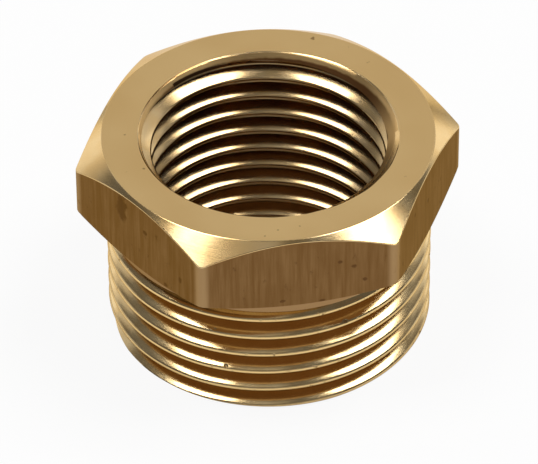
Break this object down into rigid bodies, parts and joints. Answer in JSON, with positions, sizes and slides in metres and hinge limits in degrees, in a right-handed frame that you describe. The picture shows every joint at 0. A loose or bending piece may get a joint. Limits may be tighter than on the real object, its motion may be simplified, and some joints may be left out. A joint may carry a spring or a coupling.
{
  "type": "hex bushing",
  "caption": "Brass reducing bushing with a spanner hexagon, a short threaded spigot and a threaded through bore.",
  "frame": {"origin": "centre of the spigot's end face, on which the bushing stands", "axes": "+Z along the bore from the spigot to the hexagon, +X through a corner of the hexagon, +Y through a flat"},
  "size_m": [0.031, 0.027, 0.0176],
  "materials": {
    "brass": "machined, satin on the hexagon and bright in the threads"
  },
  "bodies": {
    "root": {"hex_bushing": "brass"}
  },
  "joints": []
}
